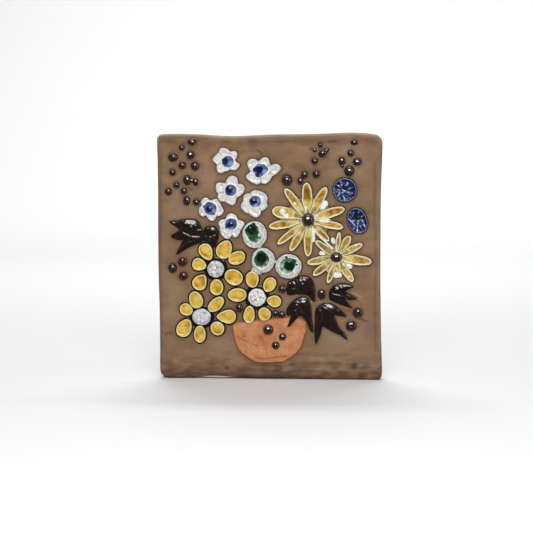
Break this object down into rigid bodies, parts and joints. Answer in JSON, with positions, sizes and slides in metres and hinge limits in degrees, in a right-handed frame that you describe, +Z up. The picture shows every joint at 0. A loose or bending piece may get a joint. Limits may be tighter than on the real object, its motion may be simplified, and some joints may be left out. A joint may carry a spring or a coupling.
{
  "type": "ceramic wall plaque",
  "caption": "Upright ceramic wall plaque: a brown stoneware slab with a terracotta pot of glazed flowers, leaves and berries in applied relief, hung from a blind slot in its back.",
  "frame": {"origin": "Middle of the slab's flat back, half way across its width and half way up its height, in the plane of the wall.", "axes": "+Z is up. +Y points out of the back into the wall, so the relief faces -Y. +X is to the right for someone who looks at the relief."},
  "size_m": [0.2677, 0.0327, 0.293],
  "materials": {
    "brown_stoneware": "unglazed, matte, mottled brown",
    "terracotta": "unglazed, matte orange",
    "white_glaze": "crackled gloss, cobalt middle",
    "green_glaze": "pooled green gloss in a crackled white rim",
    "blue_glaze": "pooled navy gloss with a pale rim",
    "star_glaze": "amber gloss, cream on the edges",
    "petal_glaze": "golden gloss, cream on the rims",
    "centre_glaze": "lumpy white gloss",
    "leaf_glaze": "black-brown gloss",
    "bead_glaze": "dark brown gloss"
  },
  "bodies": {
    "root": {"slab": "brown_stoneware", "flowerpot": "terracotta", "white_flower_1": "white_glaze", "white_flower_2": "white_glaze", "white_flower_3": "white_glaze", "white_flower_4": "white_glaze", "white_flower_5": "white_glaze", "white_flower_6": "white_glaze", "green_blossom_1": "green_glaze", "green_blossom_2": "green_glaze", "green_blossom_3": "green_glaze", "blue_blossom_1": "blue_glaze", "blue_blossom_2": "blue_glaze", "star_flower_1": "star_glaze", "star_flower_2": "star_glaze", "star_centre_1": "bead_glaze", "star_centre_2": "bead_glaze", "daisy_1_petal_1": "petal_glaze", "daisy_1_petal_2": "petal_glaze", "daisy_1_petal_3": "petal_glaze", "daisy_1_petal_4": "petal_glaze", "daisy_1_petal_5": "petal_glaze", "daisy_1_petal_6": "petal_glaze", "daisy_1_petal_7": "petal_glaze", "daisy_1_centre": "centre_glaze", "daisy_2_petal_1": "petal_glaze", "daisy_2_petal_2": "petal_glaze", "daisy_2_petal_3": "petal_glaze", "daisy_2_petal_4": "petal_glaze", "daisy_2_petal_5": "petal_glaze", "daisy_2_petal_6": "petal_glaze", "daisy_2_petal_7": "petal_glaze", "daisy_2_centre": "centre_glaze", "daisy_3_petal_1": "petal_glaze", "daisy_3_petal_2": "petal_glaze", "daisy_3_petal_3": "petal_glaze", "daisy_3_petal_4": "petal_glaze", "daisy_3_petal_5": "petal_glaze", "daisy_3_petal_6": "petal_glaze", "daisy_3_centre": "centre_glaze", "left_leaf_outer": "leaf_glaze", "left_leaf_inner": "leaf_glaze", "right_leaf_1": "leaf_glaze", "right_leaf_2": "leaf_glaze", "right_leaf_3": "leaf_glaze", "right_leaf_4": "leaf_glaze", "bead_1": "bead_glaze", "bead_2": "bead_glaze", "bead_3": "bead_glaze", "bead_4": "bead_glaze", "bead_5": "bead_glaze", "bead_6": "bead_glaze", "bead_7": "bead_glaze", "bead_8": "bead_glaze", "twin_bead": "bead_glaze", "pot_bead_1": "bead_glaze", "pot_bead_2": "bead_glaze", "pot_bead_3": "bead_glaze"}
  },
  "joints": []
}
